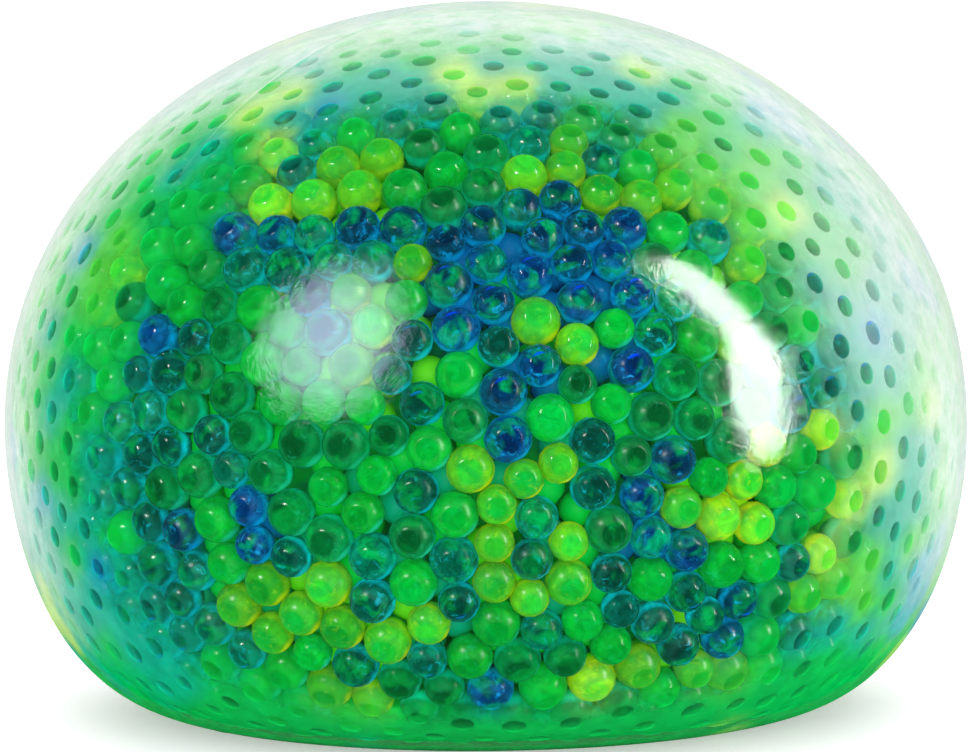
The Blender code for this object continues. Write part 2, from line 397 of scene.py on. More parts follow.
def close_pairs(a, b, reach):
    """Index pairs of points nearer to each other than their reaches added, and distances."""
    square = (a**2).sum(1)[:, None] + (b**2).sum(1)[None, :] - 2.0 * a @ b.T
    i, j = np.nonzero(square < (reach[0][:, None] + reach[1][None, :]) ** 2)
    return i, j, np.sqrt(np.maximum(square[i, j], 1e-12))


def touching(places, radii):
    """Index pairs of beads that lap each other, and their distances."""
    i, j, gap = close_pairs(places, places, (radii, radii))
    apart = i != j
    return i[apart], j[apart], gap[apart]


def settle(start, radii, depth, held, walls=None):
    """Pushes beads apart along the skin until they lie side by side; held ones stay."""
    place = start.copy()
    free = np.ones(len(place))
    free[: len(held)] = 0.0
    for _ in range(SETTLE_ROUNDS):
        push = np.zeros_like(place)
        i, j, gap = touching(place, radii)
        lap = radii[i] + radii[j] - gap
        np.add.at(push, i, (place[i] - place[j]) * (SETTLE_PUSH * lap / gap)[:, None])
        if walls is not None:
            i, j, gap = close_pairs(place, walls[0], (radii, walls[1]))
            lap = radii[i] + walls[1][j] - gap
            np.add.at(push, i, (place[i] - walls[0][j]) * (SETTLE_PUSH * lap / gap)[:, None])
        place += push * free[:, None]
        moved, _ = at_depth(place, depth)
        place = np.where(free[:, None] > 0.0, moved, place)
    return place


def cad_beads():
    """Centre, radius and colour of each separate bead in the CAD."""
    found = []
    for node in sorted(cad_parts):
        if node.startswith("bead_") and node != "bead_core":
            low, high = (Vector(corner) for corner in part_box(node))
            radius = 0.5 * max(high - low)
            found.append((tuple(0.5 * (low + high)), radius, node.split("_")[1]))
    return found


def drawn_colours(shares, count, generator):
    """Colour numbers drawn by their shares."""
    return generator.choice(len(COLOURS), count, p=[shares[name] for name in COLOURS])


def patch_centres():
    """Centre and colour number of every patch: most keep to the front's areas of colour, and
    the others are drawn by the shares of their side of the ball."""
    spots, _ = spread_evenly(PATCH_COUNT, 0.0)
    spots += PATCH_RNG.normal(0.0, PATCH_SCATTER, spots.shape)
    turn = np.degrees(np.arctan2(spots[:, 0], -spots[:, 1]))
    level = spots[:, 2] / BALL_HEIGHT
    front = drawn_colours(FRONT_SHARES, PATCH_COUNT, PATCH_RNG)
    back = drawn_colours(BACK_SHARES, PATCH_COUNT, PATCH_RNG)
    colours = np.where(np.abs(turn) < FRONT_TURN, front, back)
    held = PATCH_RNG.random(PATCH_COUNT) < AREA_HOLD
    for name, middle, height, reach, rise in AREAS:
        inside = ((turn - middle) / reach) ** 2 + ((level - height) / rise) ** 2 < 1.0
        colours[inside & held] = COLOURS.index(name)
    return spots, colours


def gathered_colours(places, spots, colours, stray):
    """A colour number for each bead: that of the nearest patch, with a few strays."""
    blurred = places + RNG.normal(0.0, PATCH_BLUR, places.shape)
    gap = ((blurred[:, None] - spots[None]) ** 2).sum(2)
    chosen = colours[gap.argmin(1)]
    drawn = drawn_colours(BACK_SHARES, len(places), RNG)
    return np.where(RNG.random(len(places)) < stray, drawn, chosen)


# ---------------- bead meshes


def bead_template(sides, heights):
    """Unit sphere as rings round Z, at these heights, with a pole at each end."""
    verts = [(0.0, 0.0, 1.0)]
    for k, height in enumerate(heights):
        radius = math.sqrt(1.0 - height * height)
        for s in range(sides):
            turn = 2.0 * math.pi * (s + 0.5 * (k % 2)) / sides
            verts.append((radius * math.cos(turn), radius * math.sin(turn), height))
    verts.append((0.0, 0.0, -1.0))
    faces = []
    last = len(verts) - 1
    for s in range(sides):
        after = (s + 1) % sides
        faces.append((0, 1 + s, 1 + after))
        bottom = 1 + (len(heights) - 1) * sides
        faces.append((last, bottom + after, bottom + s))
    for k in range(len(heights) - 1):
        top, low = 1 + k * sides, 1 + (k + 1) * sides
        shift = k % 2
        for s in range(sides):
            after = (s + 1) % sides
            if shift:
                faces.append((top + s, low + after, top + after))
                faces.append((top + s, low + s, low + after))
            else:
                faces.append((top + s, low + s, top + after))
                faces.append((top + after, low + s, low + after))
    return np.array(verts), np.array(faces)


def upright_frames(normals):
    """For each normal, a 3x3 whose columns are two directions across it and itself."""
    aside = np.where(np.abs(normals[:, 2:3]) > 0.9, [[1.0, 0.0, 0.0]], [[0.0, 0.0, 1.0]])
    first = np.cross(aside, normals)
    first /= np.linalg.norm(first, axis=1, keepdims=True)
    return np.stack([first, np.cross(normals, first), normals], 2)


def bead_shapes(centres, radii, normals, template, wall_reach, neighbours):
    """Every bead's vertices: round, flat at the skin and flat where it meets a neighbour."""
    frames = upright_frames(normals)
    arms = np.einsum("nij,mj->nmi", frames, template) * radii[:, None, None]
    if wall_reach is not None:
        out = np.einsum("nmi,ni->nm", arms, normals)
        past = np.maximum(out - wall_reach[:, None], 0.0)
        arms -= past[:, :, None] * normals[:, None, :]
    i, j, gap = neighbours
    for a, b, distance in zip(i, j, gap):
        toward = (centres[b] - centres[a]) / distance
        limit = (distance**2 + radii[a] ** 2 - radii[b] ** 2) / (2.0 * distance) - CONTACT_GAP
        past = np.maximum(arms[a] @ toward - limit, 0.0)
        arms[a] -= past[:, None] * toward
    return arms + centres[:, None, :]


def store(mesh, key, values):
    """Stores one number or one colour for each vertex."""
    if np.ndim(values) == 1:
        layer = mesh.attributes.new(key, "FLOAT", "POINT")
        layer.data.foreach_set("value", np.ascontiguousarray(values, np.float32))
    else:
        layer = mesh.attributes.new(key, "FLOAT_COLOR", "POINT")
        full = np.concatenate([values, np.ones((len(values), 1))], 1)
        layer.data.foreach_set("color", np.ascontiguousarray(full, np.float32).ravel())


def mesh_object(name, verts, faces, **attributes):
    """A smooth mesh object with these values stored on its vertices."""
    mesh = bpy.data.meshes.new(name)
    mesh.from_pydata(verts.tolist(), [], faces.tolist())
    for key, values in attributes.items():
        store(mesh, key, values)
    mesh.shade_smooth()
    piece = bpy.data.objects.new(name, mesh)
    bpy.context.scene.collection.objects.link(piece)
    return piece


def join_beads(name, shapes, template, faces, normals, tints, **extra):
    """One piece from many beads: `out` is how far a point faces the skin, `tint` the bead."""
    count, size = shapes.shape[:2]
    verts = shapes.reshape(-1, 3)
    all_faces = (faces[None] + np.arange(count)[:, None, None] * size).reshape(-1, 3)
    out = np.tile(template[:, 2], count)
    tint = np.repeat(tints, size)
    frames = upright_frames(normals)
    # Painted glow: how far each point faces the lower right, where light is painted as gathered
    glow = np.einsum("nij,mj->nmi", frames, template) @ PAINTED_GLOW_DIRECTION
    # Painted bright arc: where it lies across the cap, turned over on beads below the equator
    crest = np.einsum("nij,mj->nmi", frames[:, :, :2], template[:, :2]) @ LIGHT_ARC_DIRECTION
    crest *= np.clip(LIGHT_ARC_TURNOVER * normals[:, 2:3] + LIGHT_ARC_LEAN, -1.0, 1.0)
    extra = {key: np.repeat(values, size, axis=0) for key, values in extra.items()}
    extra.update(out=out, tint=tint, gather=glow.reshape(-1), crest=crest.reshape(-1))
    return mesh_object(name, verts, all_faces, **extra)


# ---------------- materials


class Nodes:
    """Short calls for building one material's node tree."""

    def __init__(self, name):
        self.material = bpy.data.materials.new(name)
        self.material.use_nodes = True
        self.tree = self.material.node_tree
        self.tree.nodes.clear()
        self.output = self.tree.nodes.new("ShaderNodeOutputMaterial")

    def add(self, kind, links=None, **settings):
        node = self.tree.nodes.new("ShaderNode" + kind)
        for key, value in settings.items():
            setattr(node, key, value)
        for key, value in (links or {}).items():
            if isinstance(value, bpy.types.NodeSocket):
                self.tree.links.new(value, node.inputs[key])
            else:
                node.inputs[key].default_value = value
        return node

    def number(self, name):
        return self.add("Attribute", attribute_name=name).outputs["Fac"]

    def colour(self, name):
        return self.add("Attribute", attribute_name=name).outputs["Color"]

    def steps(self, value, stops):
        """A number or a colour that follows the value through the stops."""
        node = self.add("ValToRGB", {"Fac": value})
        points = node.color_ramp.elements
        while len(points) < len(stops):
            points.new(0.5)
        for point, (at, shade) in zip(points, stops):
            point.position = at
            point.color = (shade,) * 3 + (1.0,) if isinstance(shade, float) else (*shade, 1.0)
        return node.outputs["Color"]

    def mix(self, share, first, second):
        """A colour between two others."""
        node = self.add("Mix", data_type="RGBA")
        pairs = ((node.inputs[0], share), (node.inputs[6], first), (node.inputs[7], second))
        for socket, value in pairs:
            if isinstance(value, bpy.types.NodeSocket):
                self.tree.links.new(value, socket)
            elif isinstance(value, tuple):
                socket.default_value = (*value, 1.0)
            else:
                socket.default_value = value
        return node.outputs[2]

    def math(self, operation, first, second=0.0, clamp=False):
        return self.add(
            "Math", {0: first, 1: second}, operation=operation, use_clamp=clamp
        ).outputs[0]

    def span(self, value, low, high, to_low=0.0, to_high=1.0):
        """A value mapped smoothly from one range to another."""
        links = {"Value": value, 1: low, 2: high, 3: to_low, 4: to_high}
        return self.add("MapRange", links, interpolation_type="SMOOTHSTEP").outputs[0]

    def noise(self, scale, detail=2.0, roughness=0.5, distortion=0.0):
        place = self.add("TexCoord").outputs["Object"]
        links = {"Vector": place, "Scale": scale, "Detail": detail}
        links.update({"Roughness": roughness, "Distortion": distortion})
        return self.add("TexNoise", links).outputs["Fac"]

    def times(self, colour, level):
        """A colour, brighter or darker."""
        return self.add("VectorMath", {0: colour, 1: level}, operation="MULTIPLY").outputs[0]

    def bump(self, height, distance, strength):
        links = {"Height": height, "Distance": distance, "Strength": strength}
        return self.add("Bump", links).outputs["Normal"]

    def plain(self, links):
        return self.finish(self.add("BsdfPrincipled", links).outputs[0])

    def finish(self, shader):
        self.tree.links.new(shader, self.output.inputs["Surface"])
        return self.material


def own_share(make, factor):
    """A share of its own for each bead, drawn afresh for each factor."""
    return make.math("FRACT", make.math("MULTIPLY", make.number("tint"), factor))


def outwards(make):
    """1 on a bead's side towards the skin and 0 on its far side."""
    out = make.math("MULTIPLY_ADD", make.number("out"), 0.5)
    out.node.inputs[2].default_value = 0.5
    return out


def bead_level(make, low, high, clouds):
    """Brightness: differs from bead to bead and clouds within each."""
    each = make.span(own_share(make, 7.3), 0.0, 1.0, low, high)
    cloud = make.noise(520.0, 4.0, 0.62, 1.4)
    return make.math("MULTIPLY", each, make.span(cloud, 0.32, 0.70, 1.0 - clouds, 1.0 + clouds))


def painted_sparkle(make, most):
    """Small bright flecks inside a bead: painted sparkle of light."""
    return make.span(make.noise(1000.0, 3.0, 0.6, 1.0), 0.56, 0.72, 0.0, most)


def seen_through(make, colour):
    """Patches of the green gel around a bead, seen through it."""
    share = make.span(make.noise(300.0, 2.0, 0.5, 0.8), 0.48, 0.62, 0.0, 0.50)
    return make.mix(share, colour, GREEN_BEHIND)


def is_clear(make, look):
    return make.span(make.number("tint"), 0.96 - look["clear_share"], 1.04 - look["clear_share"])


def cap_material(name, look):
    """Where a bead is pressed on the skin: no air there, so no gloss, and a look deep inside,
    painted darker as the shade of the unlit inside, with painted sparkle.
    """
    make = Nodes("gel_" + name + "_pressed")
    colour = make.mix(is_clear(make, look), look["milky"][2], look["clear"][2])
    colour = seen_through(make, colour)
    level = bead_level(make, 0.75, 1.25, look["clouds"])
    colour = make.times(colour, level)
    colour = make.mix(painted_sparkle(make, 0.5 * look["painted_sparkle"]), colour, look["glow"])
    # A painted bright arc of light across the cap of some teal and blue beads
    if "crest" in look:
        some = make.span(own_share(make, 13.7), 0.25, 0.45, 0.0, look["crest_share"])
        crest = make.math("MULTIPLY", make.span(make.number("crest"), 0.30, 0.46), some)
        colour = make.mix(crest, colour, look["crest"])
    links = {
        "Base Color": colour,
        "Roughness": 0.6,
        "Specular IOR Level": 0.0,
        "Sheen Weight": 1.0,
        "Sheen Roughness": 0.4,
        "Sheen Tint": (*(c / max(look["haze"]) for c in look["haze"]), 1.0),
    }
    return make.plain(links)


def bead_material(name, look):
    """Wet gel: a painted bright rim and painted shade on its far side, and brightest where a glow
    of gathered light is painted at the lower right, with painted sparkle.
    """
    make = Nodes("gel_" + name)
    out = outwards(make)

    # The far side dims to painted shade, then comes a painted bright rim of light, the body and the
    # cap
    def shade(body, rim, cap):
        dim = tuple(look["depth"] * c for c in body)
        near_cap = tuple(0.35 * b + 0.65 * c for b, c in zip(body, cap))
        edge = ((0.32, dim), (0.50, rim), (0.58, rim))
        return make.steps(out, (*edge, (0.69, body), (0.86, body), (0.93, near_cap)))

    colour = make.mix(is_clear(make, look), shade(*look["milky"]), shade(*look["clear"]))
    colour = seen_through(make, colour)
    level = bead_level(make, 0.85, 1.15, look["clouds"])
    colour = make.times(colour, level)
    # Painted glow: light painted as gathered at the lower right, below the cap, and painted sparkle
    gathered = make.span(make.number("gather"), 0.74, 0.97, 0.0, 1.0)
    ring = make.span(out, 0.84, 0.70)
    bright = make.math("MULTIPLY", gathered, ring)
    bright = make.math("MAXIMUM", bright, painted_sparkle(make, look["painted_sparkle"]))
    colour = make.mix(bright, colour, look["glow"])
    links = {
        "Base Color": colour,
        "Roughness": make.span(own_share(make, 23.1), 0.0, 1.0, 0.07, 0.28),
        "Specular IOR Level": 0.18,
        "Sheen Weight": look["sheen"],
        "Sheen Roughness": 0.25,
        "Sheen Tint": (*look["glow"], 1.0),
    }
    shader = make.add("BsdfPrincipled", links).outputs[0]
    return make.finish(lets_light_in(make, shader, look["tint"]))


def lets_light_in(make, shader, tint=(1.0, 1.0, 1.0)):
    """Lamps and bounced light pass, tinted, so that the gaps between beads aren't dark and the
    skin's veil, which doesn't tint them, doesn't shade the beads."""
    path = make.add("LightPath").outputs
    through = make.add("BsdfTransparent", {"Color": (*tint, 1.0)}).outputs[0]
    seen = make.add("MixShader", {0: path["Is Diffuse Ray"], 1: shader, 2: through}).outputs[0]
    return make.add("MixShader", {0: path["Is Shadow Ray"], 1: seen, 2: through}).outputs[0]


def inner_material():
    """Beads of the second layer, deep in colour, shaded by the ones above."""
    make = Nodes("gel_inner")
    level = make.steps(outwards(make), ((0.3, 0.60), (0.75, 0.90), (1.0, 1.0)))
    colour = make.times(make.colour("gel"), level)
    links = {"Base Color": colour, "Roughness": 0.25, "Specular IOR Level": 0.15}
    return make.plain(links)


def core_material():
    make = Nodes("gel_core")
    cloud = make.noise(260.0, 3.0, 0.6)
    stops = ((0.30, (0.0, 0.24, 0.15)), (0.50, (0.0, 0.38, 0.07)), (0.70, (0.0, 0.46, 0.05)))
    colour = make.steps(cloud, stops)
    links = {"Base Color": colour, "Roughness": 0.4, "Specular IOR Level": 0.1}
    return make.plain(links)


def veil(make, glancing, share, whitening):
    """The milky veil of the clear rubber: the blurred colour of the beads, whiter where the
    skin turns away, but not low down, where it is painted as in shade, and whitest where a
    sheen of light is painted on one side and the top."""
    turning = make.math("MULTIPLY", make.steps(glancing, whitening), make.number("rise"))
    aside = make.steps(glancing, ((0.29, 0.0), (0.41, 0.22), (0.53, 0.55), (0.85, 0.80)))
    aside = make.math("MULTIPLY", aside, make.number("painted_sheen"))
    speck = make.span(make.noise(650.0, 4.0, 0.7, 0.5), 0.30, 0.70, 0.88, 1.12)
    white = make.math("MULTIPLY", make.math("MAXIMUM", turning, aside), speck, clamp=True)
    mottle = make.span(make.noise(430.0, 5.0, 0.66, 0.6), 0.32, 0.68, 0.85, 1.15)
    haze = make.times(make.colour("haze"), mottle)
    milk_colour = make.mix(make.number("painted_sheen"), (0.770, 0.800, 0.785), (0.600, 0.635, 0.615))
    colour = make.mix(white, haze, milk_colour)
    front = make.add("BsdfDiffuse", {"Color": colour}).outputs[0]
    through = make.add("BsdfTranslucent", {"Color": colour}).outputs[0]
    milk = make.add("MixShader", {0: 0.1, 1: front, 2: through}).outputs[0]
    clear = make.add("BsdfTransparent").outputs[0]
    return make.add("MixShader", {0: share, 1: clear, 2: milk}).outputs[0]


def glancing_look(make):
    """0 face on and 1 edge on, uneven, and a little more where a sheen of light is painted."""
    facing = make.add("LayerWeight", {"Blend": 0.5}).outputs["Facing"]
    uneven_by = make.span(make.noise(240.0, 4.0, 0.6), 0.30, 0.70, -0.035, 0.035)
    more_by_sheen = make.math("MULTIPLY", make.number("painted_sheen"), 0.24)
    return make.math("ADD", facing, make.math("ADD", uneven_by, more_by_sheen))


def skin_gloss_material():
    """The skin's wet-looking outer face: clear, and milky only at a glancing look."""
    make = Nodes("skin_outer")
    fine = make.noise(900.0, 3.0, 0.6)
    streak = make.noise(120.0, 6.0, 0.68, 0.8)
    height = make.math("ADD", make.math("MULTIPLY", fine, 0.12), streak)
    normal = make.bump(height, 0.0004, 0.22)
    gloss = make.add("BsdfGlossy", {"Roughness": 0.09, "Normal": normal}).outputs[0]
    glancing = glancing_look(make)
    share = make.steps(
        glancing,
        ((0.36, 0.0), (0.48, 0.09), (0.60, 0.28), (0.67, 0.44), (0.74, 0.64), (0.81, 0.86)),
    )
    whitening = ((0.54, 0.0), (0.62, 0.06), (0.72, 0.40), (0.86, 0.80))
    body = veil(make, glancing, share, whitening)
    share = make.add("Fresnel", {"IOR": 1.5, "Normal": normal}).outputs[0]
    from_outside = make.math("SUBTRACT", 1.0, make.add("NewGeometry").outputs["Backfacing"])
    share = make.math("MULTIPLY", share, from_outside)
    share = make.math("MULTIPLY", share, make.span(glancing, 0.40, 0.80, 1.0, 0.0))
    shader = make.add("MixShader", {0: share, 1: body, 2: gloss}).outputs[0]
    return make.finish(lets_light_in(make, shader))


def skin_haze_material():
    """The skin's inner face: the air behind it hazes it, most of all at a glancing look."""
    make = Nodes("skin_inner")
    glancing = glancing_look(make)
    share = make.steps(
        glancing, ((0.27, 0.0), (0.38, 0.10), (0.46, 0.40), (0.54, 0.76), (0.63, 0.96))
    )
    whitening = ((0.50, 0.0), (0.58, 0.04), (0.65, 0.15), (0.73, 0.42), (0.86, 0.80))
    return make.finish(lets_light_in(make, veil(make, glancing, share, whitening)))


def plug_material():
    make = Nodes("plug_rubber")
    cloud = make.noise(500.0, 4.0, 0.6)
    colour = make.steps(cloud, ((0.3, (0.20, 0.40, 0.28)), (0.7, (0.28, 0.48, 0.36))))
    grain = make.bump(make.noise(1500.0, 3.0, 0.6), 0.0001, 0.35)
    links = {"Base Color": colour, "Roughness": 0.32, "Normal": grain}
    return make.plain(links)


def floor_material():
    make = Nodes("floor_pale")
    cloud = make.noise(1.2, 2.0)
    colour = make.steps(cloud, ((0.3, (0.94, 0.94, 0.94)), (0.7, (0.97, 0.97, 0.97))))
    links = {
        "Base Color": colour,
        "Roughness": 0.7,
        "Emission Color": (1.0, 1.0, 1.0, 1.0),
        "Emission Strength": 0.35,
    }
    return make.plain(links)


# ---------------- pieces


def outline_rows(inset, spacing):
    """(radius, height) rows of an inset skin, evenly spaced, without the two poles."""
    line = OUTLINE - OUTLINE_NORMAL * inset
    line[:, 0] = np.maximum(line[:, 0], 0.0)
    along = np.concatenate([[0.0], np.cumsum(np.linalg.norm(np.diff(line, axis=0), axis=1))])
    count = int(along[-1] / spacing)
    wanted = np.linspace(0.0, along[-1], count + 1)[1:-1]
    rows = np.stack([np.interp(wanted, along, line[:, k]) for k in (0, 1)], 1)
    return rows, line[0, 1], line[-1, 1]


def turned_shell(rows, low, high, turns):
    """A closed turned surface through the rows, facing out."""
    grid = np.concatenate([turned(rows, np.full(len(rows), turn)) for turn in turns])
    verts = np.concatenate([grid, [[0.0, 0.0, low], [0.0, 0.0, high]]])
    count, columns = len(rows), len(turns)
    bottom, top = len(grid), len(grid) + 1
    faces = []
    for c in range(columns):
        here, there = c * count, ((c + 1) % columns) * count
        faces.append((bottom, there, here))
        for k in range(count - 1):
            faces.append((here + k, there + k, there + k + 1))
            faces.append((here + k, there + k + 1, here + k + 1))
        faces.append((here + count - 1, there + count - 1, top))
    return verts, np.array(faces)


def seam_turns():
    """Turns about Z of the skin's columns, closer together along the parting line."""
    turns = list(even_turns(SKIN_COLUMNS))
    step = SEAM_HALF_WIDTH / EQUATOR_RADIUS
    for middle in SEAM_SIDES:
        middle = (middle + math.pi) % (2.0 * math.pi) - math.pi
        turns = [t for t in turns if abs(t - middle) > 2.6 * step]
        turns += [middle + k * step for k in (-1.8, -0.9, 0.0, 0.9, 1.8)]
    return sorted(turns)


def uneven(verts, contacts):
    """The outer face, standing proud over each bead, in slow waves and along the seam."""
    _, normal, turn, _ = skin_feet(verts)
    out = turned(normal, turn)
    rise = np.zeros(len(verts))
    for rows in chunks(verts):
        gap = ((verts[rows, None] - contacts[None]) ** 2).sum(2).min(1)
        rise[rows] = BULGE * np.exp(-gap / (2.0 * BULGE_WIDTH**2))
    slow = [noise.noise(Vector(v) * 38.0) + 0.5 * noise.noise(Vector(v) * 90.0) for v in verts]
    rise += WAVE * np.array(slow) * np.clip(verts[:, 2] / (6.0 * MM), 0.0, 1.0)
    for middle in SEAM_SIDES:
        aside = np.hypot(verts[:, 0], verts[:, 1]) * np.sin(turn - middle)
        near = np.exp(-((aside / SEAM_HALF_WIDTH) ** 2)) * (np.cos(turn - middle) > 0.0)
        rise += SEAM_RISE * near
    rise = np.where(verts[:, 2] < 0.5 * MM, 0.0, rise)
    return verts + out * rise[:, None]


def plug_seat():
    """The frame on the outer skin at the filler plug, Z pointing out of the ball."""
    down = 1.0 - PLUG_HEIGHT / EQUATOR_HEIGHT
    across = (1.0 - down * down) ** (1.0 / FLANK_POWER)
    bulge = EQUATOR_RADIUS - BASE_RADIUS
    slope_r = across ** (FLANK_POWER - 1.0) * FLANK_POWER / bulge
    slope_z = -2.0 * down / EQUATOR_HEIGHT
    place = Vector((0.0, BASE_RADIUS + bulge * across, PLUG_HEIGHT))
    out = Vector((0.0, slope_r, slope_z)).normalized()
    return Matrix.Translation(place) @ out.to_track_quat("Z", "Y").to_matrix().to_4x4()


def disc_tool(name, radius, low, high, seat):
    """A plain disc along the seat's axis that cuts or adds, and isn't a piece."""
    turn = np.linspace(0.0, 2.0 * math.pi, SEAT_SIDES, endpoint=False)
    ring = np.stack([radius * np.cos(turn), radius * np.sin(turn)], 1)
    verts = np.concatenate(
        [np.c_[ring, np.full(SEAT_SIDES, low)], np.c_[ring, np.full(SEAT_SIDES, high)]]
    )
    sides = [
        (s, (s + 1) % SEAT_SIDES, SEAT_SIDES + (s + 1) % SEAT_SIDES, SEAT_SIDES + s)
        for s in range(SEAT_SIDES)
    ]
    ends = [tuple(range(SEAT_SIDES))[::-1], tuple(range(SEAT_SIDES, 2 * SEAT_SIDES))]
    mesh = bpy.data.meshes.new(name)
    mesh.from_pydata(verts.tolist(), [], sides + ends)
    tool = bpy.data.objects.new(name, mesh)
    tool.matrix_world = seat
    bpy.context.scene.collection.objects.link(tool)
    return tool


def cut(piece, tools):
    """Applies Boolean differences to a piece and removes the tools."""
    for tool in tools:
        step = piece.modifiers.new("cut", "BOOLEAN")
        step.operation = "DIFFERENCE"
        step.solver = "MANIFOLD"
        step.object = tool
    graph = bpy.context.evaluated_depsgraph_get()
    graph.update()
    shape = bpy.data.meshes.new_from_object(piece.evaluated_get(graph))
    piece.modifiers.clear()
    piece.data = shape
    for tool in tools:
        bpy.data.objects.remove(tool, do_unlink=True)


def whitening(places):
    """Shares of white in the skin's veil: `rise` fades it low down as painted shade, and the
    other is a painted sheen of light on one side and the top.
    """
    normal = skin_feet(places)[1]
    turn = np.arctan2(places[:, 0], -places[:, 1])
    level = places[:, 2] / BALL_HEIGHT
    # Painted shade: the white fades where the skin faces down
    low = np.clip((normal[:, 1] - FADE_FROM) / FADE_WIDTH, 0.0, 1.0)
    rise = low * low * (3.0 - 2.0 * low)
    # Painted sheen: white on one side and on the top
    aside = ((turn - PAINTED_SHEEN_TURN) / PAINTED_SHEEN_REACH) ** 2
    side = PAINTED_SHEEN_SHARE * np.exp(-aside - ((level - PAINTED_SHEEN_LEVEL) / PAINTED_SHEEN_RISE) ** 2)
    top = TOP_SHEEN_SHARE * np.clip((level - TOP_SHEEN_FROM) / TOP_SHEEN_WIDTH, 0.0, 1.0)
    slow = np.array([noise.noise(Vector(v) * 30.0 + Vector((3.0, 1.0, 7.0))) for v in places])
    painted_sheen = np.clip(np.maximum(side, top) * (1.0 + 0.45 * slow), 0.0, 0.9)
    return rise, painted_sheen * rise


def make_skin(beads, materials):
    """The skin: uneven outer face, inner face, the plug's seat, and the haze colour inside."""
    rows, low, high = outline_rows(0.0, SKIN_ROW)
    verts, faces = turned_shell(rows, low, high, seam_turns())
    contacts, _ = at_depth(beads["centres"], 0.0)
    skin = mesh_object("clear_skin", uneven(verts, contacts), faces)
    rows, low, high = outline_rows(WALL, 1.5 * SKIN_ROW)
    turns = even_turns(2 * SKIN_COLUMNS // 3)
    cavity = mesh_object("cavity_tool", *turned_shell(rows, low, high, turns))
    seat = plug_seat()
    cut(cavity, [disc_tool("boss_tool", SEAT_RADIUS, -SEAT_DEPTH, CUT_ABOVE, seat)])
    recess = disc_tool("recess_tool", FLANGE_RADIUS + GAP, -RECESS_DEPTH, CUT_ABOVE, seat)
    hole = disc_tool("hole_tool", STEM_RADIUS + GAP, -2.0 * SEAT_DEPTH, CUT_ABOVE, seat)
    cut(skin, [cavity, recess, hole])
    mesh = skin.data
    mesh.materials.clear()
    for material in materials:
        mesh.materials.append(material)
    middles = np.empty(len(mesh.polygons) * 3)
    mesh.polygons.foreach_get("center", middles)
    middles = middles.reshape(-1, 3)
    depth = skin_feet(middles)[3]
    from_plug = np.linalg.norm(middles - np.array(seat.translation), axis=1)
    inside = (depth > 0.6 * WALL) & (from_plug > SEAT_RADIUS + MM)
    mesh.polygons.foreach_set("material_index", inside.astype(np.int32))
    places = np.empty(len(mesh.vertices) * 3)
    mesh.vertices.foreach_get("co", places)
    places = places.reshape(-1, 3)
    tones = np.array([BEAD_LOOKS[name]["haze"] for name in COLOURS])[beads["colours"]]
    haze = np.empty((len(places), 3))
    for rows in chunks(places):
        gap = ((places[rows, None] - contacts[None]) ** 2).sum(2)
        weight = np.exp(-gap / (2.0 * HAZE_SPREAD**2)) + 1e-9
        haze[rows] = weight @ tones / weight.sum(1, keepdims=True)
    low = np.clip(1.0 - places[:, 2:3] / HAZE_LOW, 0.0, 1.0)
    haze += HAZE_LOW_SHARE * low * (np.array(BEAD_LOOKS["green"]["haze"]) - haze)
    # Painted shadow: the haze darker along the foot of the ball
    above_foot_shadow = np.clip((places[:, 2:3] - FOOT_SHADOW_FROM) / FOOT_SHADOW_WIDTH, 0.0, 1.0)
    haze *= FOOT_SHADOW_LEVEL + (1.0 - FOOT_SHADOW_LEVEL) * above_foot_shadow
    store(mesh, "haze", haze)
    # The white's fade low down, painted shade, and the painted sheen on one side and the top
    for key, values in zip(("rise", "painted_sheen"), whitening(places)):
        store(mesh, key, values)
    mesh.shade_smooth()
    mesh.set_sharp_from_angle(angle=SHARP_ANGLE)
    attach(skin, "root")
    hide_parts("skin")
    return skin


def lay_beads():
    """Places every bead of the two outer layers and gives each its colour."""
    fixed = cad_beads()
    spots, spot_colours = patch_centres()
    mean = 0.5 * (BEAD_SMALL + BEAD_LARGE)
    _, area = spread_evenly(8, WALL + CAP_COSINE * mean)
    count = int(OUTER_FILL * area / (math.pi * mean**2))
    start, _ = spread_evenly(count - len(fixed), WALL + CAP_COSINE * mean)
    start += RNG.normal(0.0, START_SCATTER, start.shape)
    held = np.array([place for place, _, _ in fixed])
    radii = RNG.uniform(BEAD_SMALL, BEAD_LARGE, count)
    radii[: len(fixed)] = [radius for _, radius, _ in fixed]
    depth = WALL + CAP_COSINE * radii
    centres = settle(np.concatenate([held, start]), radii, depth, held)
    centres, normals = at_depth(centres, depth)
    colours = gathered_colours(centres, spots, spot_colours, OUTER_STRAYS)
    low = (centres[:, 2] < LOW_BAND) & (RNG.random(count) < LOW_GREEN)
    colours = np.where(low, COLOURS.index("green"), colours)
    colours[: len(fixed)] = [COLOURS.index(name) for _, _, name in fixed]
    outer = dict(centres=centres, radii=radii, normals=normals, colours=colours, held=fixed)
    deep = WALL + (CAP_COSINE + INNER_STEP) * mean
    count = int(INNER_FILL * area / (math.pi * mean**2) * INNER_SHRINK)
    start, _ = spread_evenly(count, deep)
    start += RNG.normal(0.0, START_SCATTER, start.shape)
    radii = RNG.uniform(BEAD_SMALL, BEAD_LARGE, len(start))
    centres = settle(start, radii, deep, held[:0], (outer["centres"], outer["radii"]))
    centres, normals = at_depth(centres, deep)
    colours = gathered_colours(centres, spots, spot_colours, INNER_STRAYS)
    return outer, dict(centres=centres, radii=radii, normals=normals, colours=colours)


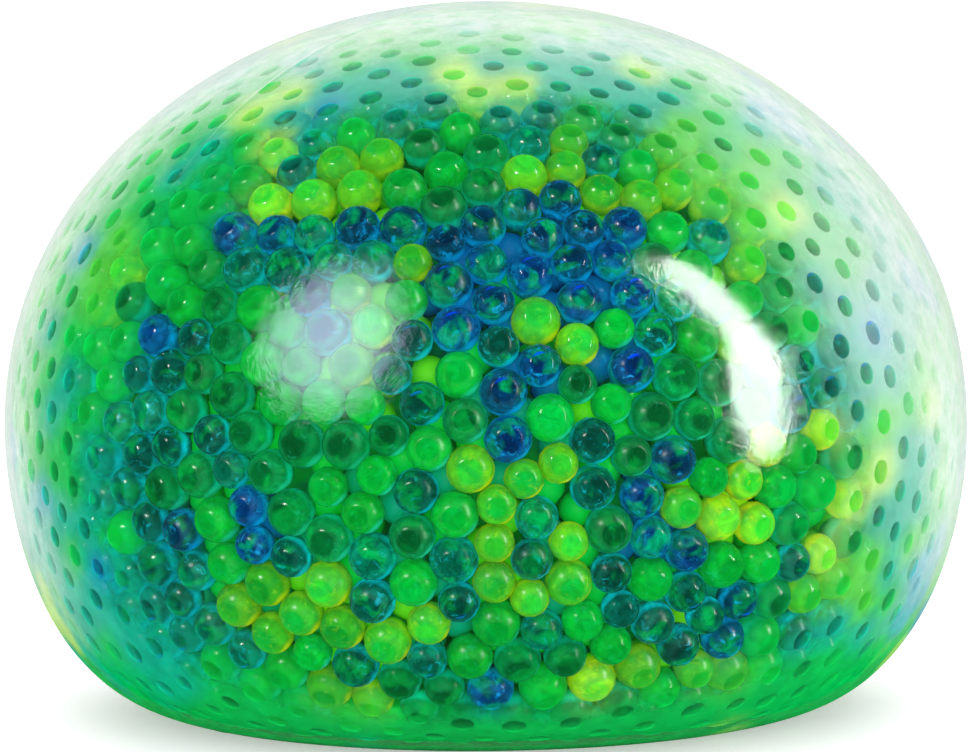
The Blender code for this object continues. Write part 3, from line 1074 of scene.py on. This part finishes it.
def add_outer_beads(beads):
    """The beads against the skin, one piece for each colour."""
    template, faces = bead_template(BEAD_SIDES, BEAD_RINGS)
    centres, radii, normals = beads["centres"], beads["radii"], beads["normals"]
    reach = CAP_COSINE * radii + CAP_SINK
    shapes = bead_shapes(centres, radii, normals, template, reach, touching(centres, radii))
    tints = RNG.random(len(centres))
    pieces = []
    for number, name in enumerate(COLOURS):
        mine = beads["colours"] == number
        piece = join_beads(
            "beads_" + name, shapes[mine], template, faces, normals[mine], tints[mine]
        )
        piece.data.materials.append(bead_material(name, BEAD_LOOKS[name]))
        piece.data.materials.append(cap_material(name, BEAD_LOOKS[name]))
        caps = np.tile(template[faces][:, :, 2].mean(1) > CAP_FROM, mine.sum())
        piece.data.polygons.foreach_set("material_index", caps.astype(np.int32))
        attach(piece, "root")
        nodes = [n for n in sorted(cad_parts) if n.startswith(f"bead_{name}_")]
        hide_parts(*nodes)
        pieces.append(piece)
    return pieces


def add_inner_beads(beads):
    """The second layer, seen in the gaps between the outer beads."""
    template, faces = bead_template(INNER_SIDES, INNER_RINGS)
    centres, radii, normals = beads["centres"], beads["radii"], beads["normals"]
    shapes = bead_shapes(centres, radii, normals, template, None, touching(centres, radii))
    tones = np.array([BEAD_LOOKS[name]["deep"] for name in COLOURS])[beads["colours"]]
    piece = join_beads(
        "inner_beads", shapes, template, faces, normals, RNG.random(len(centres)), gel=tones
    )
    piece.data.materials.append(inner_material())
    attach(piece, "root")


def add_core():
    """The rest of the fill: a lumpy mass of beads behind the second layer."""
    inset = WALL + CORE_LAYERS * (BEAD_SMALL + BEAD_LARGE) * 0.5
    rows, low, high = outline_rows(inset, CORE_ROW)
    verts, faces = turned_shell(rows, low, high, even_turns(CORE_COLUMNS))
    lumps, _ = spread_evenly(LUMP_COUNT, inset)
    gap = ((verts[:, None] - lumps[None]) ** 2).sum(2).min(1)
    _, out = at_depth(verts, inset)
    verts = verts + out * (LUMP_RISE * np.exp(-gap / (2.0 * LUMP_WIDTH**2)))[:, None]
    core = mesh_object("bead_heart", verts, faces)
    core.data.materials.append(core_material())
    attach(core, "root")
    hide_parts("bead_core")


def slope(middle, width, level, climb, count):
    """Rows going inwards round a radius, which leave one level softly for another."""
    rows = []
    for share in np.linspace(0.0, 1.0, count):
        part = 0.5 - 0.5 * math.cos(math.pi * share)
        rows.append((middle + (0.5 - share) * width, level + part * climb))
    return rows


def add_plug():
    """The filler plug as moulded: a round-edged flange with a shallow dish and the mark of
    the mould's gate in its middle, and behind it the stem and the barb."""
    top = -FLANGE_SINK
    under = top - FLANGE_THICKNESS
    barb = -(SEAT_DEPTH + GAP)
    dish = top - DISH_DEPTH
    rows = [(r * BARB_RADIUS, barb - z * BARB_LENGTH) for r, z in BARB_NOSE]
    rows += [(BARB_RADIUS, barb - PLUG_EDGE), (BARB_RADIUS - PLUG_EDGE, barb)]
    rows += [(STEM_RADIUS, barb), (STEM_RADIUS, under), (FLANGE_RADIUS, under)]
    for angle in np.linspace(0.0, 0.5 * math.pi, 6):
        inward, down = PLUG_EDGE * (1.0 - math.cos(angle)), PLUG_EDGE * (1.0 - math.sin(angle))
        rows.append((FLANGE_RADIUS - inward, top - down))
    rows += slope(DISH_RADIUS, 2.0 * DISH_DEPTH, top, -DISH_DEPTH, 7)
    rows += slope(GATE_RADIUS, 3.0 * GATE_RISE, dish, GATE_RISE, 5)
    ends = (barb - BARB_LENGTH, dish + GATE_RISE)
    verts, faces = turned_shell(np.array(rows), *ends, even_turns(SEAT_SIDES))
    seat = np.array(plug_seat())
    plug = mesh_object("moulded_plug", verts @ seat[:3, :3].T + seat[:3, 3], faces)
    plug.data.set_sharp_from_angle(angle=SHARP_ANGLE)
    plug.data.materials.append(plug_material())
    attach(plug, "root")
    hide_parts("filler_plug")


# ---------------- studio


def add_floor():
    mesh = bpy.data.meshes.new("studio_floor")
    signs = ((-1, -1), (1, -1), (1, 1), (-1, 1))
    corners = [(x * FLOOR_SIDE, y * FLOOR_SIDE, 0.0) for x, y in signs]
    mesh.from_pydata(corners, [], [(0, 1, 2, 3)])
    floor = bpy.data.objects.new("studio_floor", mesh)
    floor.location.z = SKIN_LOW.z - FLOOR_GAP
    bpy.context.scene.collection.objects.link(floor)
    mesh.materials.append(floor_material())
    floor.visible_glossy = False


def add_light(name, place, target, size, power, upright=UP):
    """A soft box that lights the surfaces and isn't seen in their gloss."""
    data = bpy.data.lights.new(name, "AREA")
    data.shape = "RECTANGLE"
    data.size, data.size_y = size
    data.energy = power
    light = bpy.data.objects.new(name, data)
    back = (Vector(place) - Vector(target)).normalized()
    across = Vector(upright).cross(back).normalized()
    turn = Matrix((across, back.cross(across), back)).transposed()
    light.matrix_world = Matrix.Translation(place) @ turn.to_4x4()
    light.visible_glossy = False
    bpy.context.scene.collection.objects.link(light)
    return light


def add_mirror_light(name, place, upright, size, radiance, tint=(1.0, 1.0, 1.0)):
    """An oval soft box that is only seen in the gloss, as bright as the radiance."""
    power = radiance * math.pi * 0.25 * math.pi * size[0] * size[1]
    middle = (0.0, 0.0, 0.5 * BALL_HEIGHT)
    light = add_light(name, place, middle, size, power, upright)
    light.data.shape = "ELLIPSE"
    light.data.color = tint
    light.visible_diffuse = False
    light.visible_glossy = True
    return light


def only_on(light, pieces):
    """The light reaches only these pieces."""
    group = bpy.data.collections.new("lit_by_" + light.name)
    for piece in pieces:
        group.objects.link(piece)
    light.light_linking.receiver_collection = group


def add_studio(skin, beads):
    scene = bpy.context.scene
    scene.view_settings.view_transform = "Standard"
    world = bpy.data.worlds.new("studio")
    scene.world = world
    world.use_nodes = True
    tree = world.node_tree
    light = tree.nodes["Background"]
    light.inputs[0].default_value = (1.0, 1.0, 1.0, 1.0)
    in_gloss = tree.nodes.new("ShaderNodeMapRange")
    in_gloss.inputs["To Min"].default_value = WORLD_LEVEL
    in_gloss.inputs["To Max"].default_value = WORLD_IN_GLOSS
    path = tree.nodes.new("ShaderNodeLightPath")
    tree.links.new(path.outputs["Is Glossy Ray"], in_gloss.inputs["Value"])
    tree.links.new(in_gloss.outputs[0], light.inputs[1])
    middle = (0.0, 0.0, 0.5 * BALL_HEIGHT)
    add_light("overhead", (0.05, -0.10, 0.75), middle, (0.7, 0.7), 1.2)
    add_light("front_soft", (0.12, -0.75, 0.30), middle, (0.7, 0.7), 1.8)
    add_light("front_low", (0.0, -0.70, 0.05), (0.0, 0.0, 0.02), (0.8, 0.3), 2.9)
    add_light("back_wash", (0.0, 0.95, 0.80), (0.0, 0.5, 0.0), (1.4, 1.0), 6.0)
    for k, (share, radiance) in enumerate(LEFT_SOFT):
        size = (LEFT_SIZE[0] * share, LEFT_SIZE[1] * share)
        place = (1.0 - LEFT_APART * k) * LEFT_PLACE
        light = add_mirror_light(f"left_soft_{k}", place, UP, size, radiance, LEFT_TINT)
        only_on(light, [skin])
    for name, distance, size, radiance in GLINTS:
        light = add_mirror_light(name, distance * LEFT_PLACE, UP, size, radiance)
        only_on(light, beads)
    for name, place, upright, size in RIGHT_WINDOW:
        add_mirror_light(name, place, upright, size, RIGHT_RADIANCE)


def add_camera():
    scene = bpy.context.scene
    data = bpy.data.cameras.new("camera")
    data.lens = LENS
    data.sensor_width = SENSOR
    data.clip_start = 0.01
    camera = bpy.data.objects.new("camera", data)
    scene.collection.objects.link(camera)
    target = Vector((0.0, 0.0, 0.5 * BALL_HEIGHT - AIM_DROP))
    away = Vector((0.0, -math.cos(EYE_RISE), math.sin(EYE_RISE)))
    camera.location = target + EYE_DISTANCE * away
    aim = (target - camera.location).to_track_quat("-Z", "Y").to_matrix()
    camera.rotation_euler = (aim @ Matrix.Rotation(ROLL, 3, "Z")).to_euler()
    scene.camera = camera


outer_beads, second_beads = lay_beads()
bead_pieces = add_outer_beads(outer_beads)
add_inner_beads(second_beads)
add_core()
clear_skin = make_skin(outer_beads, (skin_gloss_material(), skin_haze_material()))
add_plug()
add_floor()
add_studio(clear_skin, bead_pieces)
add_camera()
